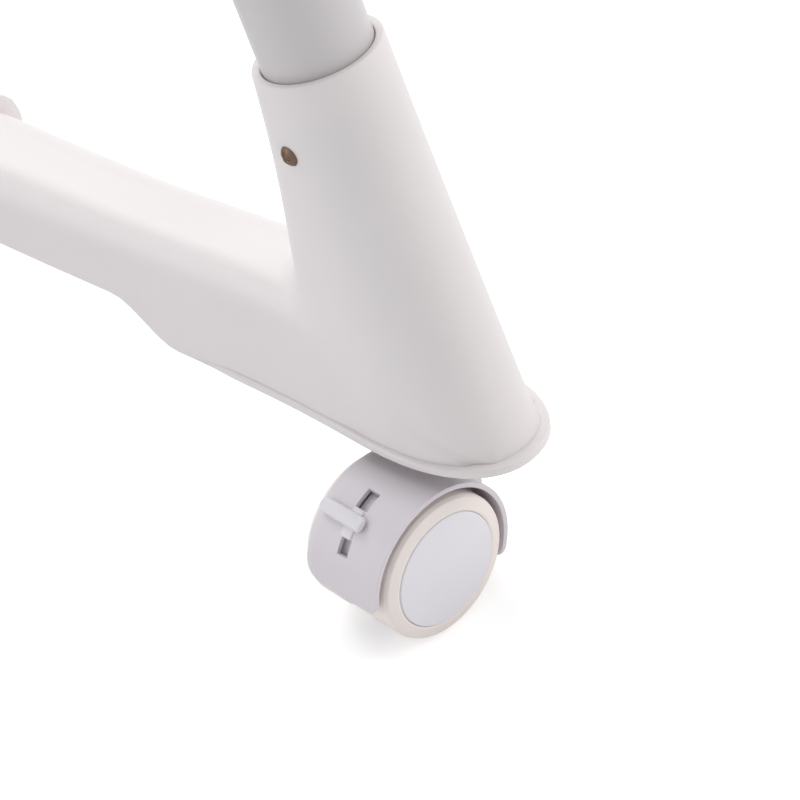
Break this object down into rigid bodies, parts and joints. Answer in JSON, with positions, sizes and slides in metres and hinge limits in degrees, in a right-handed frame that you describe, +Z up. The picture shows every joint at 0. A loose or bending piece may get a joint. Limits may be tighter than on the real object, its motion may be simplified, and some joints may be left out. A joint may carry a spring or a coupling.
{
  "type": "hood hair dryer",
  "caption": "Floor-standing hood hair dryer: a domed hood with visor and rear blower housing on a leaning telescopic mast, over a three-legged base with braked twin-wheel casters.",
  "frame": {"origin": "on the floor, under the middle of the dryer's bounding box", "axes": "+Z up; the dryer faces -Y, and the mast's foot is at its rear, on the +Y side"},
  "size_m": [0.6812, 0.6912, 1.4836],
  "materials": {
    "foot_plastic": "smooth satin moulded plastic",
    "hub_plastic": "smooth satin moulded plastic",
    "ballast": "bare casting",
    "mast_paint": "light grey-white powder coat",
    "chromed_tube": "light grey-white powder coat",
    "steel": "turned steel",
    "screw_steel": "dull plated steel",
    "caster_plastic": "fine satin nylon",
    "brake_plastic": "smooth nylon",
    "wheel_plastic": "smooth nylon",
    "tyre_cream": "soft grey-cream tyre",
    "bush_plastic": "nylon",
    "hood_plastic": "glossy moulded plastic",
    "liner_plastic": "perforated satin plastic",
    "seal_rubber": "soft grey seal",
    "visor_clear": "clear smoked plastic",
    "grille_plastic": "grey moulded plastic",
    "motor_steel": "plated steel can",
    "fan_plastic": "moulded plastic",
    "mica": "mica board",
    "heater_wire": "resistance wire",
    "panel_metal": "brushed plate",
    "switch_plastic": "moulded switch body",
    "knob_plastic": "black moulded plastic",
    "rocker_plastic": "red glossy plastic",
    "lamp_plastic": "amber lens",
    "gland_rubber": "black rubber"
  },
  "bodies": {
    "root": {"rear_foot": "foot_plastic", "front_leg_right": "foot_plastic", "front_leg_left": "foot_plastic", "hub": "hub_plastic", "hub_cap": "hub_plastic", "hub_weight": "ballast", "hub_screws": "steel", "lower_tube": "mast_paint", "mast_screws": "screw_steel", "tube_bush": "bush_plastic", "collar": "hub_plastic", "rear_caster_stem": "steel", "right_caster_stem": "steel", "left_caster_stem": "steel"},
    "rear_caster": {"rear_caster_hood": "caster_plastic", "rear_caster_axle": "steel"},
    "rear_near_wheel": {"rear_caster_near_wheel": "wheel_plastic", "rear_caster_near_tyre": "tyre_cream"},
    "rear_far_wheel": {"rear_caster_far_wheel": "wheel_plastic", "rear_caster_far_tyre": "tyre_cream"},
    "rear_brake": {"rear_caster_brake": "brake_plastic"},
    "right_caster": {"right_caster_hood": "caster_plastic", "right_caster_axle": "steel"},
    "right_near_wheel": {"right_caster_near_wheel": "wheel_plastic", "right_caster_near_tyre": "tyre_cream"},
    "right_far_wheel": {"right_caster_far_wheel": "wheel_plastic", "right_caster_far_tyre": "tyre_cream"},
    "right_brake": {"right_caster_brake": "brake_plastic"},
    "left_caster": {"left_caster_hood": "caster_plastic", "left_caster_axle": "steel"},
    "left_near_wheel": {"left_caster_near_wheel": "wheel_plastic", "left_caster_near_tyre": "tyre_cream"},
    "left_far_wheel": {"left_caster_far_wheel": "wheel_plastic", "left_caster_far_tyre": "tyre_cream"},
    "left_brake": {"left_caster_brake": "brake_plastic"},
    "upper_mast": {"upper_tube": "chromed_tube", "hood_bracket": "hub_plastic", "tilt_pin": "steel"},
    "clamp_knob": {"clamp_knob": "hub_plastic"},
    "tilt_knob": {"tilt_knob": "hub_plastic"},
    "hood": {"hood_shell": "hood_plastic", "hood_liner": "liner_plastic", "hood_rim": "seal_rubber", "visor_pins": "steel", "rear_housing": "hood_plastic", "intake_grille": "grille_plastic", "blower_motor": "motor_steel", "heater_frame": "mica", "heater_coil": "heater_wire", "control_panel": "panel_metal", "timer_unit": "switch_plastic", "heat_selector": "switch_plastic", "pilot_lamp": "lamp_plastic", "cord_gland": "gland_rubber"},
    "visor": {"visor": "visor_clear"},
    "impeller": {"impeller": "fan_plastic"},
    "timer_knob": {"timer_knob": "knob_plastic"},
    "heat_knob": {"heat_knob": "knob_plastic"},
    "power_rocker": {"power_rocker": "rocker_plastic"}
  },
  "joints": [
    {"name": "rear_caster_swivel", "type": "hinge", "parent": "root", "child": "rear_caster", "pos_m": [0, 0.31, 0.025], "axis": [0, 0, 1], "continuous": true},
    {"name": "rear_near_wheel_spin", "type": "hinge", "parent": "rear_caster", "child": "rear_near_wheel", "pos_m": [0.02561, 0.3069, 0.025], "axis": [0.1201, 0.9928, 0], "continuous": true},
    {"name": "rear_far_wheel_spin", "type": "hinge", "parent": "rear_caster", "child": "rear_far_wheel", "pos_m": [0.02561, 0.3069, 0.025], "axis": [0.1201, 0.9928, 0], "continuous": true},
    {"name": "rear_brake_press", "type": "hinge", "parent": "rear_caster", "child": "rear_brake", "pos_m": [0.02561, 0.3069, 0.025], "axis": [0.1201, 0.9928, 0], "range_deg": [-13, 10]},
    {"name": "right_caster_swivel", "type": "hinge", "parent": "root", "child": "right_caster", "pos_m": [0.28344, -0.22783, 0.025], "axis": [0, 0, 1], "continuous": true},
    {"name": "right_near_wheel_spin", "type": "hinge", "parent": "right_caster", "child": "right_near_wheel", "pos_m": [0.30701, -0.23833, 0.025], "axis": [0.4067, 0.9135, 0], "continuous": true},
    {"name": "right_far_wheel_spin", "type": "hinge", "parent": "right_caster", "child": "right_far_wheel", "pos_m": [0.30701, -0.23833, 0.025], "axis": [0.4067, 0.9135, 0], "continuous": true},
    {"name": "right_brake_press", "type": "hinge", "parent": "right_caster", "child": "right_brake", "pos_m": [0.30701, -0.23833, 0.025], "axis": [0.4067, 0.9135, 0], "range_deg": [-13, 10]},
    {"name": "left_caster_swivel", "type": "hinge", "parent": "root", "child": "left_caster", "pos_m": [-0.28344, -0.22783, 0.025], "axis": [0, 0, 1], "continuous": true},
    {"name": "left_near_wheel_spin", "type": "hinge", "parent": "left_caster", "child": "left_near_wheel", "pos_m": [-0.30701, -0.23833, 0.025], "axis": [0.4067, -0.9135, 0], "continuous": true},
    {"name": "left_far_wheel_spin", "type": "hinge", "parent": "left_caster", "child": "left_far_wheel", "pos_m": [-0.30701, -0.23833, 0.025], "axis": [0.4067, -0.9135, 0], "continuous": true},
    {"name": "left_brake_press", "type": "hinge", "parent": "left_caster", "child": "left_brake", "pos_m": [-0.30701, -0.23833, 0.025], "axis": [0.4067, -0.9135, 0], "range_deg": [-13, 10]},
    {"name": "mast_height", "type": "slide", "parent": "root", "child": "upper_mast", "axis": [0, -0.2453, 0.9694], "range_m": [-0.15, 0.15]},
    {"name": "clamp_knob_turn", "type": "hinge", "parent": "root", "child": "clamp_knob", "pos_m": [0, 0.13095, 0.91756], "axis": [0, 0.9694, 0.2453], "range_deg": [-360, 0]},
    {"name": "hood_tilt", "type": "hinge", "parent": "upper_mast", "child": "hood", "pos_m": [0, 0.02508, 1.21364], "axis": [1, 0, 0], "range_deg": [-25, 10]},
    {"name": "tilt_knob_turn", "type": "hinge", "parent": "upper_mast", "child": "tilt_knob", "pos_m": [0.028, 0.02508, 1.21364], "axis": [1, 0, 0], "range_deg": [-360, 0]},
    {"name": "visor_flip", "type": "hinge", "parent": "hood", "child": "visor", "pos_m": [0, -0.16492, 1.30864], "axis": [1, 0, 0], "range_deg": [-65, 0]},
    {"name": "impeller_spin", "type": "hinge", "parent": "hood", "child": "impeller", "pos_m": [0, 0.06508, 1.29864], "axis": [0, 1, 0], "continuous": true},
    {"name": "timer_knob_turn", "type": "hinge", "parent": "hood", "child": "timer_knob", "pos_m": [0.038, 0.0504, 1.39995], "axis": [0, 0.7071, 0.7071], "range_deg": [-300, 0]},
    {"name": "heat_knob_turn", "type": "hinge", "parent": "hood", "child": "heat_knob", "pos_m": [-0.038, 0.0504, 1.39995], "axis": [0, 0.7071, 0.7071], "range_deg": [-270, 0]},
    {"name": "power_rocker_press", "type": "hinge", "parent": "hood", "child": "power_rocker", "pos_m": [0, 0.04898, 1.39854], "axis": [1, 0, 0], "range_deg": [-6, 6]}
  ]
}
